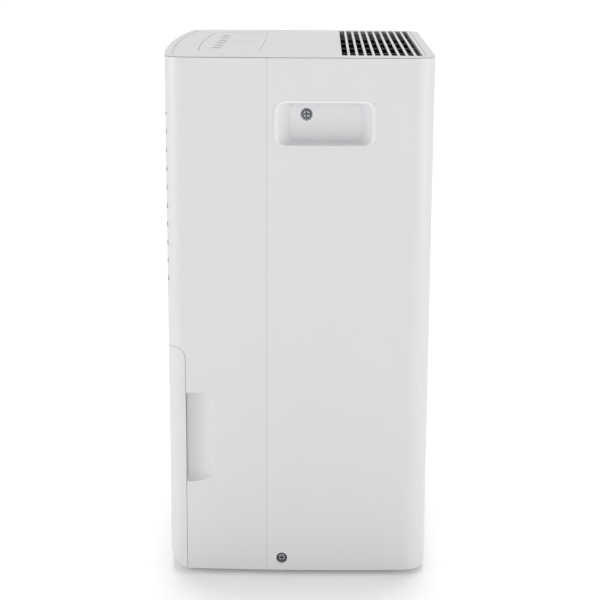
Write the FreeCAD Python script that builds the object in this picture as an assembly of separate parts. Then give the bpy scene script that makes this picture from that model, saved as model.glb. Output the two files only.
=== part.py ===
import FreeCAD, Part
import math
import os

from FreeCAD import Vector

os.makedirs("parts", exist_ok=True)

# A free-standing room dehumidifier. Millimetres, +Z up, front towards -Y.
# The origin is at the centre of the bottom of the bounding box.

# Overall size
WIDTH = 340.0
DEPTH = 252.0
HEIGHT = 495.0
FOOT_HEIGHT = 5.0
CASING_TOP = 493.5
SIDE = WIDTH / 2
FRONT = -DEPTH / 2
REAR = DEPTH / 2

# Outline of the casing
FRONT_BOW = 1680.0
SIDE_BOW = 2000.0
FRONT_CORNER = 20.0
REAR_CORNER = 24.0
FRONT_TOE = 19.0
REAR_TOE = 8.0
WALL = 2.5
SKIN = 1.0
BASE_FLANGE = 8.0
SEAM_Y = -26.0
SEAM_GAP = 0.12
LAP = 1.5
LAP_REACH = 5.0

# Top cover, which sits on a ledge inside the casing and overhangs its walls
LEDGE_LOW = 488.9
LEDGE_WIDTH = 3.0
LEDGE_THICKNESS = 2.5
COVER_LOW = 491.5
COVER_GAP = 0.3
COVER_LIP = 1.0
COVER_EDGE = 0.4
GROOVE_FRONT = 7.0
GROOVE_SIDE = 3.0
GROOVE_REAR = 8.0
GROOVE_WIDTH = 0.7
GROOVE_DEPTH = 0.8

# Outlet grille in the top cover
SLOT_COUNT = 10
SLOT_PITCH = 7.5
SLOT_WIDTH = 5.2
SLOT_START = 41.3
SLOT_HALF = 156.0
GRILLE_THICKNESS = 1.2
GUARD_BARS = 5
GUARD_PITCH = 58.0
GUARD_BAR = 2.0
GUARD_BAR_HEIGHT = 1.0
GUARD_RAIL = 1.6
GUARD_GAP = 0.1
GUARD_SEAT = 0.2

# Control panel
PANEL_HALF = 124.0
PANEL_FRONT = -95.0
PANEL_REAR = -34.5
PANEL_CORNER = 14.0
PANEL_TOP = 494.9
PANEL_GAP = 0.3
PANEL_SEAT = 3.0
PANEL_EDGE = 0.3
POST_RADIUS = 3.0
POST_INSET = 16.0
POST_REAR_INSET = 8.0
KEY_NAMES = ("power", "mode", "fan", "timer", "drier", "wetter")
KEY_PITCH = 30.5
KEY_Y = -76.6
KEY_RADIUS = 4.5
KEY_PLAY = 0.35
KEY_TRAVEL = 0.8
KEY_EDGE = 0.7
KEY_STEM = 2.5
KEY_STEM_GAP = 0.3
KEY_LOW = 488.5
KEY_COLLAR = 6.2
KEY_COLLAR_HIGH = 490.3
WINDOW_HALF = 24.0
WINDOW_FRONT = -62.0
WINDOW_REAR = -44.0
WINDOW_DEPTH = 1.5
WINDOW_GAP = 0.15
WINDOW_CORNER = 2.0
BOARD_TOP = 477.6
BOARD_THICKNESS = 1.6
BOARD_INSET = 10.0
BOARD_FRONT = -87.0
BOARD_REAR = -37.5
SWITCH_HALF = 3.0
SWITCH_DOME = 1.8
SWITCH_DOME_HEIGHT = 1.2
SWITCH_TOP = 482.1
DISPLAY_TOP = 490.0

# Intake slots in the front
INTAKE_ROWS = 10
INTAKE_TOP = 443.0
INTAKE_PITCH = 17.15
INTAKE_HEIGHT = 5.0
INTAKE_HALF = 150.0
INTAKE_GROOVE_HALF = 158.0
INTAKE_REACH = 26.0
INTAKE_RIB_PITCH = 62.0
INTAKE_RIB = 2.0

# Hand recess in each side
RECESS_FRONT = -17.0
RECESS_REAR = 70.3
RECESS_LOW = 415.5
RECESS_HIGH = 453.2
RECESS_FLOOR = SIDE - 18.0
RECESS_CORNER = 8.0
RECESS_FLOOR_CORNER = 6.0
RECESS_FRONT_SLOPE = 12.3
RECESS_REAR_SLOPE = 10.3
RECESS_SILL = 2.5
RECESS_BROW = 2.0
RECESS_LIP = 2.2
RECESS_MARGIN = 2.7
RECESS_JOINT = 0.1
RECESS_FLARE_X = 3.0
RECESS_FLARE_Z = 0.5
LIP_SEARCH = 4.0
LIP_SEARCH_DEPTH = 1.5

# Screws in the sides, each sunk in a round well
SCREW_WASHER = 4.9
SCREW_WASHER_THICKNESS = 0.6
SCREW_HEAD = 3.9
SCREW_HEAD_HEIGHT = 2.4
SCREW_SHANK = 2.0
SCREW_LENGTH = 9.0
SCREW_CROSS = 2.7
SCREW_CROSS_WIDTH = 1.1
SCREW_EDGE = 1.4
SCREW_BOSS = 8.0
SCREW_HOLE = 2.3
WELL_DEPTH = 4.0
RECESS_WELL = 5.7
LOW_WELL = 5.3
RECESS_SCREW = (9.7, 441.4)
LOW_SCREW = (-11.8, 17.2)

# Tank and its bay
TANK_EDGE_Y = -102.4
TANK_TOP = 224.5
TANK_CORNER = 10.0
TANK_GAP = 0.35
BUCKET_HALF = 149.0
BUCKET_FRONT = -103.0
BUCKET_REAR = -12.0
BUCKET_LOW = 12.5
BUCKET_HIGH = 172.0
BUCKET_WALL = 2.0
BUCKET_CORNER = 14.0
BUCKET_TOE = 8.0
BUCKET_RIM = 2.2
BUCKET_RIM_THICKNESS = 2.5
WEB_X = 139.0
WEB_THICKNESS = 3.0
GRIP_INNER = 158.0
GRIP_THICKNESS = 2.4
LID_LOW = BUCKET_HIGH + 0.1
LID_HIGH = 175.0
LID_PLUG_DEPTH = 5.0
LID_PLUG_WALL = 2.0
LID_PLAY = 0.4
DRIP_OPENING = (-36.0, 36.0, -62.0, -30.0)
POURING_CORNER = (104.0, 138.0, -97.0, -74.0)
LID_OPENING_CORNER = 5.0
LEVEL_LOW = 62.0
LEVEL_HIGH = 168.0
LEVEL_HALF = 8.0
LEVEL_GAP = 0.2
LEVEL_THICKNESS = 5.0
HANDLE_Y = -60.0
HANDLE_Z = 181.0
HANDLE_REACH = 38.0
HANDLE_HALF = 109.2
HANDLE_ARM = 5.0
HANDLE_HEIGHT = 8.0
HANDLE_BAR = 5.0
HANDLE_BOSS = 5.5
HANDLE_BAR_CORNER = 3.0
PIN_RADIUS = 3.0
PIN_CLEARANCE = 0.08
EAR_GAP = 0.6
EAR_THICKNESS = 4.2
EAR_HALF = 6.0
FLOAT_Y = -25.0
FLOAT_Z = 158.0
FLOAT_X = 80.0
FLOAT_HALF = 14.0
FLOAT_PIN = 2.0
FLOAT_CLEARANCE = 0.06
FLOAT_BARREL = 5.0
FLOAT_FRONT = 55.0
FLOAT_BACK = 13.0
FLOAT_DROP = 6.0
FLOAT_DEPTH = 20.0
FLOAT_CORNER = 3.0
FLOAT_NECK = 5.0
LUG_X = 17.0
LUG_THICKNESS = 3.0
MAGNET_RADIUS = 4.0
MAGNET_THICKNESS = 3.0
MAGNET_Y = FLOAT_Y + 3.4
BAY_HALF = 154.5
BAY_WALL = 2.0
BAY_REAR = -8.0
BAY_CEILING = 227.5
LINER = 2.5

# Finger scoop beside the tank
SCOOP_LOW = 92.0
SCOOP_HIGH = 181.0
SCOOP_REAR = -74.5
SCOOP_DEEP = 159.5
SCOOP_BULGE = 3.4
SCOOP_SHALLOW = 1.0
SCOOP_MOUTH = 16.0
SCOOP_ROUND = 12.0
SCOOP_WALL = 2.0

# Base pan and feet
PAN_LOW = FOOT_HEIGHT + WALL + 0.4
PAN_HIGH = 11.0
RUNNER_GAP = 0.4
BLOCK_HALF = 6.0
BLOCK_INNER = 12.0
BLOCK_OUTER = 8.2
BLOCK_RISE = 7.0
RUNNER_X = 100.0
RUNNER_HALF = 3.0
RUNNER_FRONT = -99.0
FOOT_X = 128.0
FOOT_FRONT = -84.0
FOOT_REAR = 98.0
FOOT_RADIUS = 11.5
FOOT_TOP_RADIUS = 13.0
FOOT_EDGE = 1.2

# Air filter and its rails
FILTER_HALF = 124.0
FILTER_FRONT = -113.0
FILTER_REAR = -108.5
FILTER_LOW = 236.0
FILTER_HIGH = 456.0
FILTER_BORDER = 6.0
FILTER_BAR = 3.0
FILTER_BAR_PITCH = 60.0
FILTER_TAB_HALF = 20.0
FILTER_TAB_DEPTH = 13.0
FILTER_MESH = 0.6
FILTER_BAR_SET = 0.5
FILTER_HOLD = 4.0
RAIL_PLAY = 0.8
RAIL_WALL = 2.5
RAIL_HOLD = 3.0
RAIL_FRONT = FILTER_FRONT - 2.0
RAIL_REAR = FILTER_REAR + 2.2

# Coils
COIL_HALF = 112.0
COIL_BEND_X = 126.0
COIL_LOW = 250.0
COIL_HIGH = 442.0
COIL_ROWS = 8
COIL_ROW_PITCH = 24.0
COIL_FIRST_ROW = 262.0
COIL_TUBE = 4.0
COIL_TUBE_WALL = 0.7
COIL_END_X = 121.0
FIN_PITCH = 8.0
FIN_THICKNESS = 0.8
FIN_REACH = 9.0
FIN_END = 2.0
EVAPORATOR_ROWS_Y = (-90.0, -70.0)
CONDENSER_ROWS_Y = (-50.0, -34.0)

# Drip tray
TRAY_HALF = 136.0
TRAY_FRONT = -104.0
TRAY_REAR = -20.0
TRAY_LOW = BAY_CEILING + LINER + 1.0
TRAY_HEIGHT = 16.0
TRAY_WALL = 2.0
SPOUT_Y = -45.0
DRIP_RADIUS = 7.0
DRIP_BORE = 5.5

# Fan
FAN_X = 25.0
FAN_Z = 332.0
WHEEL_RADIUS = 82.0
WHEEL_FRONT = 46.0
WHEEL_REAR = 94.0
WHEEL_RING_OUTER = 83.0
WHEEL_RING_INNER = 75.0
WHEEL_RING_THICKNESS = 3.0
WHEEL_DISC_Y = 68.0
WHEEL_DISC_THICKNESS = 2.0
HUB_RADIUS = 12.0
HUB_FRONT = 60.0
HUB_LENGTH = 13.0
BLADES = 36
BLADE_DEPTH = 15.0
BLADE_THICKNESS = 1.2
BLADE_LEAN = 25.0
SHAFT_RADIUS = 4.0
SHAFT_CLEARANCE = 0.05
SHAFT_FRONT = 57.0
SHAFT_LENGTH = 25.0
MOTOR_RADIUS = 40.0
MOTOR_FRONT = 78.0
MOTOR_EDGE = 5.0
MOTOR_BOSS = 10.0
MOTOR_TAIL = 5.5
SCROLL_FRONT = 40.0
SCROLL_REAR = 108.0
SCROLL_START = 92.0
SCROLL_STEP = 11.0
SCROLL_WALL = 2.0
SCROLL_TOP = 457.8
THROAT_RISE = 8.0
THROAT_DEPTH = 18.0
INLET_LIP = 1.5
INLET_WALL = 2.0
TONGUE_ANGLE = 60.0
INLET_RADIUS = 68.0
INLET_THROAT = 61.0
INLET_DEPTH = 5.5
DUCT_HALF = 157.5
DUCT_REAR = 114.8
DUCT_LOW = 458.0
DUCT_HIGH = 487.3
DUCT_WALL = 2.0

# Compressor and its pipes
COMPRESSOR_X = -50.0
COMPRESSOR_Y = 58.0
COMPRESSOR_RADIUS = 51.0
COMPRESSOR_LOW = 27.0
COMPRESSOR_HIGH = 192.0
COMPRESSOR_DOME = 14.0
PIPE_X = 140.0
PIPE_Y = 14.0
SUCTION_Z = 194.0
SUCTION_LOW_Z = 44.0
DISCHARGE_Y = 16.0
DISCHARGE_Z = 216.0
CAPILLARY_X = 146.0
CAPILLARY_Z = 450.0
LOWER_BEND = 14.0
SUCTION_BEND = 12.0
PIPE_BEND = 10.0
LOWER_PIPE = (5.0, 4.0)
SUCTION_PIPE = (4.5, 3.7)
DISCHARGE_PIPE = (3.2, 2.5)
CAPILLARY = (1.6, 0.9)
TERMINAL_RADIUS = 16.0
TERMINAL_OFFSET = (12.0, 10.0)
OUTLET_OFFSET = (-20.0, -10.0)
OUTLET_RADIUS = 4.5
FOOT_CIRCLE = 58.0
ARM_HALF = 9.0
GROMMET_HIGH = 24.0
GROMMET_WAIST = 8.0
BOLT_RADIUS = 3.0
BOLT_HOLE = 3.2
BOLT_LENGTH = 24.0
BOLT_FLANGE = 7.0
BOLT_FLANGE_THICKNESS = 1.5
NUT_RADIUS = 5.8
NUT_HEIGHT = 5.0
ACCUMULATOR_X = 44.0
ACCUMULATOR_Y = 40.0
ACCUMULATOR_RADIUS = 20.0
ACCUMULATOR_LOW = 62.0
ACCUMULATOR_HIGH = 166.0
ACCUMULATOR_WALL = 2.0
ACCUMULATOR_DOME = 10.0
ACCUMULATOR_PORT = 3.0
CAPACITOR_X = 112.0
CAPACITOR_Y = 62.0
CAPACITOR_RADIUS = 18.0
CAPACITOR_HEIGHT = 72.0
CAPACITOR_EDGE = 2.0
TERMINAL_BLOCK_HALF = 6.0
TERMINAL_BLOCK_DEPTH = 2.0
TERMINAL_BLOCK_HEIGHT = 7.0

# Humidity sensor
SENSOR_CASE = (-160.0, -150.0, -78.0, -52.0, 300.0, 324.0)
SENSOR_SLOTS = 4
SENSOR_SLOT = 3.0
SENSOR_PITCH = 6.0
SENSOR_MARGIN = 4.0
SENSOR_END = 5.0

# Drain and cord gland
DRAIN_X = 110.0
DRAIN_Z = 240.0
DRAIN_OUTER = 6.5
DRAIN_BORE = 4.5
SPOUT_RADIUS = 6.0
SPOUT_START = REAR - 17.5
DRAIN_END = 124.0
DRAIN_CUP = 20.0
DRAIN_HOLLOW = 17.5
DRAIN_CUP_DEPTH = 20.0
DRAIN_PLAY = 0.1
BUNG_LENGTH = 14.0
BUNG_CLEARANCE = 0.06
GLAND_X = -110.0
GLAND_Z = 42.0
GLAND_CUP = 16.0
GLAND_HOLLOW = 13.5
GLAND_FLANGE = 12.0
GLAND_BARREL = 7.0
GLAND_CUP_DEPTH = 8.0
GLAND_HOLLOW_DEPTH = 5.0
GLAND_FLANGE_THICKNESS = 3.0
GLAND_LENGTH = 14.0
GLAND_NOSE_LENGTH = 2.0
GLAND_NOSE = 8.5
GLAND_TIP = 6.5
CORD_BORE = 3.7

X_AXIS = Vector(1, 0, 0)
Y_AXIS = Vector(0, 1, 0)
Z_AXIS = Vector(0, 0, 1)
OVERRUN = 1.0
FUSION = 0.5
TINY = 1e-4


def box(x_low, x_high, y_low, y_high, z_low, z_high):
    """A block between two corners."""
    corner = Vector(x_low, y_low, z_low)
    return Part.makeBox(x_high - x_low, y_high - y_low, z_high - z_low, corner)


def rod(radius, start, axis, length):
    """A round bar from a start point."""
    return Part.makeCylinder(radius, length, Vector(*start), axis)


def ring(outer, inner, start, axis, length):
    """A tube from a start point."""
    return rod(outer, start, axis, length).cut(rod(inner, start, axis, length))


def joined(shapes):
    """Several shapes as one solid."""
    first = shapes[0]
    return first.fuse(shapes[1:]).removeSplitter()


def mirrored(shape):
    """The shape on the other side of the middle plane."""
    return shape.mirror(Vector(0, 0, 0), X_AXIS)


def edges_along(shape, axis):
    """The straight edges that run along an axis."""
    found = []
    for edge in shape.Edges:
        ends = [vertex.Point for vertex in edge.Vertexes]
        if len(ends) == 2:
            run = ends[1] - ends[0]
            if run.cross(axis).Length < TINY and run.Length > TINY:
                found.append(edge)
    return found


def edges_at_height(shape, height):
    """The edges that lie in one level plane."""
    found = []
    for edge in shape.Edges:
        heights = [edge.valueAt(edge.FirstParameter).z, edge.valueAt(edge.LastParameter).z]
        middle = edge.valueAt((edge.FirstParameter + edge.LastParameter) / 2).z
        if all(abs(z - height) < TINY for z in heights + [middle]):
            found.append(edge)
    return found


def rounded_box(limits, axis, radius):
    """A block with its edges along one axis rounded."""
    block = box(*limits)
    return block.makeFillet(radius, edges_along(block, axis))


def plan_block(low, high, front=0.0, side=0.0, rear=0.0):
    """The casing's plan outline, set in by three amounts, between two heights."""
    height = high - low
    block = box(-WIDTH, WIDTH, FRONT + front, REAR - rear, low, high)
    bow_centre = (0, FRONT + FRONT_BOW, low)
    block = block.common(rod(FRONT_BOW - front, bow_centre, Z_AXIS, height))
    for centre_x in (SIDE - SIDE_BOW, SIDE_BOW - SIDE):
        bowed = rod(SIDE_BOW - side, (centre_x, 0, low), Z_AXIS, height)
        bowed.rotate(Vector(centre_x, 0, 0), Z_AXIS, 90)
        block = block.common(bowed)
    front_radius = FRONT_CORNER - (front + side) / 2
    rear_radius = REAR_CORNER - (rear + side) / 2
    for radius, end in ((front_radius, -1), (rear_radius, 1)):
        corners = []
        for edge in edges_along(block, Z_AXIS):
            if end * edge.Vertexes[0].Point.y > DEPTH / 4:
                corners.append(edge)
        block = block.makeFillet(radius, corners)
    return block


def toe_envelope(inset):
    """A large body whose bottom edge is rounded along the front bow and along the back."""
    low = FOOT_HEIGHT + inset
    bowed = rod(FRONT_BOW - inset, (0, FRONT + FRONT_BOW, low), Z_AXIS, HEIGHT)
    bowed = bowed.makeFillet(FRONT_TOE - inset, edges_at_height(bowed, low))
    straight = box(-WIDTH, WIDTH, -DEPTH, REAR - inset, low, low + HEIGHT)
    heel = []
    for edge in edges_along(straight, X_AXIS):
        point = edge.Vertexes[0].Point
        if abs(point.z - low) < TINY and point.y > 0:
            heel.append(edge)
    straight = straight.makeFillet(REAR_TOE - inset, heel)
    return bowed.common(straight)


def casing_form(inset):
    """The solid form of the casing, set in evenly."""
    block = plan_block(FOOT_HEIGHT + inset, CASING_TOP - inset, inset, inset, inset)
    return block.common(toe_envelope(inset))


OUTER_FORM = casing_form(0.0)
SKIN_FORM = casing_form(SKIN)
INNER_FORM = casing_form(WALL)
LAP_FORM = casing_form(WALL + LAP)


def evenly_inset(inset, low, high):
    """The casing's plan outline, set in by the same amount all round, between two heights."""
    return plan_block(low, high, inset, inset, inset)


def casing_shell():
    """The whole hollow casing, open at the top above its ledge and open underneath."""
    opening_low = LEDGE_LOW - OVERRUN
    opening = evenly_inset(WALL, opening_low, HEIGHT)
    ledge = evenly_inset(SKIN, LEDGE_LOW, LEDGE_LOW + LEDGE_THICKNESS)
    ledge = ledge.cut(evenly_inset(WALL + LEDGE_WIDTH, opening_low, HEIGHT))
    underside = evenly_inset(BASE_FLANGE, 0, FOOT_HEIGHT + WALL + OVERRUN)
    shell = OUTER_FORM.cut([INNER_FORM, opening, underside])
    return shell.fuse(ledge).removeSplitter()


def tank_region(margin):
    """The prism across the whole width that parts the tank's front from the casing."""
    region = box(-WIDTH, WIDTH, -DEPTH, TANK_EDGE_Y + margin, -OVERRUN, TANK_TOP + margin)
    corner = []
    for edge in edges_along(region, X_AXIS):
        point = edge.Vertexes[0].Point
        if point.z > 0 and point.y > -DEPTH / 2:
            corner.append(edge)
    return region.makeFillet(TANK_CORNER + margin, corner)


def scoop_prism(depth_x, rear_y, low, high):
    """A wedge behind the tank's edge with a curved back, deepest at the edge."""
    outside = SIDE + SCOOP_MOUTH
    front_y = TANK_EDGE_Y - OVERRUN
    deep = Vector(depth_x, front_y, low)
    middle = Vector(depth_x + SCOOP_BULGE, (front_y + rear_y) / 2, low)
    shallow = Vector(SIDE - SCOOP_SHALLOW, rear_y, low)
    edges = [
        Part.Arc(deep, middle, shallow).toShape(),
        Part.LineSegment(shallow, Vector(outside, rear_y, low)).toShape(),
        Part.LineSegment(Vector(outside, rear_y, low), Vector(outside, front_y, low)).toShape(),
        Part.LineSegment(Vector(outside, front_y, low), deep).toShape(),
    ]
    return Part.Face(Part.Wire(edges)).extrude(Vector(0, 0, high - low))


def scoop_pocket():
    """The solid that the scoop is hollowed out of."""
    return scoop_prism(SCOOP_DEEP - SCOOP_WALL, SCOOP_REAR + SCOOP_WALL, SCOOP_LOW - SCOOP_WALL,
                       SCOOP_HIGH + SCOOP_WALL)


def scoop_hollow():
    """The scoop itself: flat at its upper end, rounded at its lower end."""
    hollow = scoop_prism(SCOOP_DEEP, SCOOP_REAR, SCOOP_LOW, SCOOP_HIGH)
    curved = []
    for edge in edges_at_height(hollow, SCOOP_LOW):
        if edge.Curve.TypeId == "Part::GeomCircle":
            curved.append(edge)
    return hollow.makeFillet(SCOOP_ROUND, curved)


def intake_slots(reach):
    """The level slots across the front, out to a distance from the middle."""
    half = INTAKE_HEIGHT / 2
    slots = []
    for row in range(INTAKE_ROWS):
        z = INTAKE_TOP - row * INTAKE_PITCH
        limits = (-reach, reach, FRONT - OVERRUN, FRONT + INTAKE_REACH, z - half, z + half)
        slots.append(rounded_box(limits, Y_AXIS, half - 0.1))
    return Part.makeCompound(slots)


def intake_ribs():
    """Upright ribs behind the slots, which stiffen the bars between them."""
    low = INTAKE_TOP - INTAKE_ROWS * INTAKE_PITCH
    high = INTAKE_TOP + INTAKE_PITCH
    half = INTAKE_RIB / 2
    ribs = []
    for step in (-2, -1, 0, 1, 2):
        x = step * INTAKE_RIB_PITCH
        ribs.append(box(x - half, x + half, FRONT, RAIL_FRONT, low, high))
    return Part.makeCompound(ribs).common(INNER_FORM)


def filter_rails():
    """Channels that guide the filter's two upright edges."""
    wall = FILTER_HALF + RAIL_PLAY
    outer = wall + RAIL_WALL
    inner = FILTER_HALF - RAIL_HOLD
    low = TANK_TOP + 8
    high = FILTER_HIGH + 2
    back = box(wall, outer, FRONT, RAIL_REAR, low, high)
    front_lip = box(inner, outer, RAIL_FRONT, FILTER_FRONT - RAIL_PLAY, low, high)
    rear_lip = box(inner, outer, FILTER_REAR + RAIL_PLAY, RAIL_REAR, low, high)
    rail = back.fuse([front_lip, rear_lip])
    return Part.makeCompound([rail, mirrored(rail)]).common(INNER_FORM)


def front_casing():
    """Front shell: slots that run out in shallow grooves, room for the tank, a scoop in each side."""
    front_half = box(-WIDTH, WIDTH, -DEPTH, SEAM_Y - SEAM_GAP / 2, -OVERRUN, HEIGHT)
    shell = casing_shell().common(front_half)
    pocket = scoop_pocket()
    pockets = Part.makeCompound([pocket, mirrored(pocket)]).common(SKIN_FORM)
    sill_low = TANK_TOP + TANK_GAP
    sill = INNER_FORM.common(box(-WIDTH, WIDTH, -DEPTH, RAIL_FRONT, sill_low, sill_low + WALL))
    shell = shell.fuse([pockets, sill, intake_ribs(), filter_rails()])
    hollow = scoop_hollow()
    grooves = intake_slots(INTAKE_GROOVE_HALF).cut(SKIN_FORM)
    cut = [hollow, mirrored(hollow), intake_slots(INTAKE_HALF), grooves, tank_region(TANK_GAP / 2)]
    return shell.cut(cut).removeSplitter()


def rounded_loop(y_low, y_high, z_low, z_high, radius, x):
    """A rectangle with rounded corners in a plane across the X axis."""
    edges = []
    centres = [(y_high - radius, z_low + radius), (y_high - radius, z_high - radius),
               (y_low + radius, z_high - radius), (y_low + radius, z_low + radius)]
    last = None
    for index, (y, z) in enumerate(centres):
        turns = [(index - 1 + step / 2) * math.pi / 2 for step in range(3)]
        arc = [Vector(x, y + radius * math.cos(turn), z + radius * math.sin(turn)) for turn in turns]
        if last is not None:
            edges.append(Part.LineSegment(last, arc[0]).toShape())
        edges.append(Part.Arc(*arc).toShape())
        last = arc[2]
    edges.append(Part.LineSegment(last, edges[0].Vertexes[0].Point).toShape())
    return Part.Wire(edges)


def recess_form(grow, floor_x):
    """The tapered form of the hand recess: steep above and below, sloped at its two ends."""
    outer_x = SIDE + RECESS_FLARE_X
    beyond = (outer_x - SIDE) / (SIDE - RECESS_FLOOR)
    slope = RECESS_FRONT_SLOPE * beyond
    rise = RECESS_FLARE_Z
    outer = rounded_loop(RECESS_FRONT - slope - grow, RECESS_REAR + slope + grow,
                         RECESS_LOW - rise - grow, RECESS_HIGH + rise + grow, RECESS_CORNER, outer_x)
    inner = rounded_loop(RECESS_FRONT + RECESS_FRONT_SLOPE - grow, RECESS_REAR - RECESS_REAR_SLOPE + grow,
                         RECESS_LOW + RECESS_SILL - grow, RECESS_HIGH - RECESS_BROW + grow,
                         RECESS_FLOOR_CORNER, floor_x)
    return Part.makeLoft([inner, outer], True, True)


def lip_edges(shell):
    """The edges where the hand recesses break through the casing's sides."""
    margin = LIP_SEARCH
    shallow = SIDE - LIP_SEARCH_DEPTH
    found = []
    for edge in shell.Edges:
        centre = edge.BoundBox.Center
        inside_y = RECESS_FRONT - margin < centre.y < RECESS_REAR + margin
        inside_z = RECESS_LOW - margin < centre.z < RECESS_HIGH + margin
        reach = [abs(vertex.Point.x) for vertex in edge.Vertexes]
        if inside_y and inside_z and min(reach) > shallow:
            found.append(edge)
    return found


def side_pieces():
    """What one side of the rear casing adds inside its wall: the recess's cup and two screw bosses."""
    cup = recess_form(WALL, RECESS_FLOOR - WALL)
    boss_depth = WELL_DEPTH + WALL
    upper = rod(SCREW_BOSS, (RECESS_FLOOR - boss_depth, *RECESS_SCREW), X_AXIS, boss_depth)
    lower = rod(SCREW_BOSS, (SIDE - 2 * WELL_DEPTH, *LOW_SCREW), X_AXIS, 2 * WELL_DEPTH - SKIN)
    return [piece.common(SKIN_FORM) for piece in (cup, upper, lower)]


def side_hollows():
    """What is cut from one side of the rear casing: the recess, the screw wells and their holes."""
    upper_seat = RECESS_FLOOR - WELL_DEPTH
    lower_seat = SIDE - WELL_DEPTH
    deep = 2 * SCREW_LENGTH
    return [
        recess_form(0.0, RECESS_FLOOR),
        rod(RECESS_WELL, (upper_seat, *RECESS_SCREW), X_AXIS, 2 * WELL_DEPTH),
        rod(LOW_WELL, (lower_seat, *LOW_SCREW), X_AXIS, 2 * WELL_DEPTH),
        rod(SCREW_HOLE, (upper_seat - SCREW_LENGTH, *RECESS_SCREW), X_AXIS, deep),
        rod(SCREW_HOLE, (lower_seat - SCREW_LENGTH, *LOW_SCREW), X_AXIS, deep),
    ]


def rear_shell():
    """Rear shell with a hand recess in each side, and cups for the drain spout and the cord gland."""
    rear_half = box(-WIDTH, WIDTH, SEAM_Y + SEAM_GAP / 2, DEPTH, -OVERRUN, HEIGHT)
    shell = casing_shell().common(rear_half)
    lap_zone = box(-WIDTH, WIDTH, SEAM_Y - LAP_REACH, SEAM_Y + LAP_REACH, PAN_HIGH + 1, LEDGE_LOW - 1)
    added = [INNER_FORM.common(lap_zone).cut(LAP_FORM)]
    added.append(rod(DRAIN_CUP, (DRAIN_X, REAR - DRAIN_CUP_DEPTH, DRAIN_Z), Y_AXIS, DRAIN_CUP_DEPTH - SKIN))
    added.append(rod(GLAND_CUP, (GLAND_X, REAR - GLAND_CUP_DEPTH, GLAND_Z), Y_AXIS, GLAND_CUP_DEPTH - SKIN))
    for piece in side_pieces():
        added += [piece, mirrored(piece)]
    shell = shell.fuse(added)
    cut = []
    for hollow in side_hollows():
        cut += [hollow, mirrored(hollow)]
    cut.append(rod(DRAIN_HOLLOW, (DRAIN_X, SPOUT_START, DRAIN_Z), Y_AXIS, DRAIN_CUP_DEPTH))
    cut.append(rod(DRAIN_OUTER + DRAIN_PLAY, (DRAIN_X, REAR - 25, DRAIN_Z), Y_AXIS, DRAIN_CUP_DEPTH))
    hollow_start = (GLAND_X, REAR - GLAND_HOLLOW_DEPTH, GLAND_Z)
    cut.append(rod(GLAND_HOLLOW, hollow_start, Y_AXIS, 2 * GLAND_HOLLOW_DEPTH))
    cut.append(rod(GLAND_BARREL, (GLAND_X, REAR - GLAND_LENGTH, GLAND_Z), Y_AXIS, DEPTH))
    shell = shell.cut(cut).removeSplitter()
    return shell.makeFillet(RECESS_LIP, lip_edges(shell))


REAR_SHELL = rear_shell()


def recess_zone(margin):
    """A prism across the whole width around the hand recesses, which parts their cups from the casing."""
    loop = rounded_loop(RECESS_FRONT - margin, RECESS_REAR + margin, RECESS_LOW - margin,
                        RECESS_HIGH + margin, RECESS_CORNER + margin, -WIDTH)
    return Part.Face(loop).extrude(Vector(2 * WIDTH, 0, 0))


def rear_casing():
    """Rear shell without the cups of its hand recesses."""
    return REAR_SHELL.cut(recess_zone(RECESS_MARGIN + RECESS_JOINT))


def hand_recesses():
    """The two cups set into the sides, each with its rounded lip and a screw well."""
    return REAR_SHELL.common(recess_zone(RECESS_MARGIN))


def cross_screw(seat_x, y, z):
    """A domed screw with its washer, seated on a face across the X axis, with a cross recess."""
    top_x = seat_x + SCREW_HEAD_HEIGHT
    washer = rod(SCREW_WASHER, (seat_x, y, z), X_AXIS, SCREW_WASHER_THICKNESS)
    head = rod(SCREW_HEAD, (seat_x, y, z), X_AXIS, SCREW_HEAD_HEIGHT)
    rim = [edge for edge in head.Edges if abs(edge.BoundBox.XMin - top_x) < TINY]
    head = head.makeFillet(SCREW_EDGE, rim)
    shank = rod(SCREW_SHANK, (seat_x - SCREW_LENGTH, y, z), X_AXIS, SCREW_LENGTH + FUSION)
    arm = SCREW_CROSS
    half = SCREW_CROSS_WIDTH / 2
    floor_x = seat_x + SCREW_WASHER_THICKNESS
    level = box(floor_x, top_x + OVERRUN, y - arm, y + arm, z - half, z + half)
    upright = box(floor_x, top_x + OVERRUN, y - half, y + half, z - arm, z + arm)
    return head.fuse([washer, shank]).cut([level, upright]).removeSplitter()


def side_screws():
    """The two screws in the hand recesses and the two low on the sides."""
    upper = cross_screw(RECESS_FLOOR - WELL_DEPTH, *RECESS_SCREW)
    lower = cross_screw(SIDE - WELL_DEPTH, *LOW_SCREW)
    return Part.makeCompound([upper, mirrored(upper), lower, mirrored(lower)])


def panel_form(grow, low, high):
    """The control panel's outline: bowed in front, straight behind."""
    block = box(-PANEL_HALF - grow, PANEL_HALF + grow, FRONT, PANEL_REAR + grow, low, high)
    radius = FRONT_BOW - (PANEL_FRONT - FRONT) + grow
    block = block.common(rod(radius, (0, FRONT + FRONT_BOW, low), Z_AXIS, high - low))
    middle = (PANEL_FRONT + PANEL_REAR) / 2
    front_corners = [edge for edge in edges_along(block, Z_AXIS) if edge.Vertexes[0].Point.y < middle]
    return block.makeFillet(PANEL_CORNER + grow, front_corners)


def outlet_slots():
    """The ten long slots at the rear of the top."""
    slots = []
    for index in range(SLOT_COUNT):
        y = SLOT_START + index * SLOT_PITCH
        slots.append(box(-SLOT_HALF, SLOT_HALF, y, y + SLOT_WIDTH, COVER_LOW, HEIGHT + OVERRUN))
    return Part.makeCompound(slots)


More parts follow.
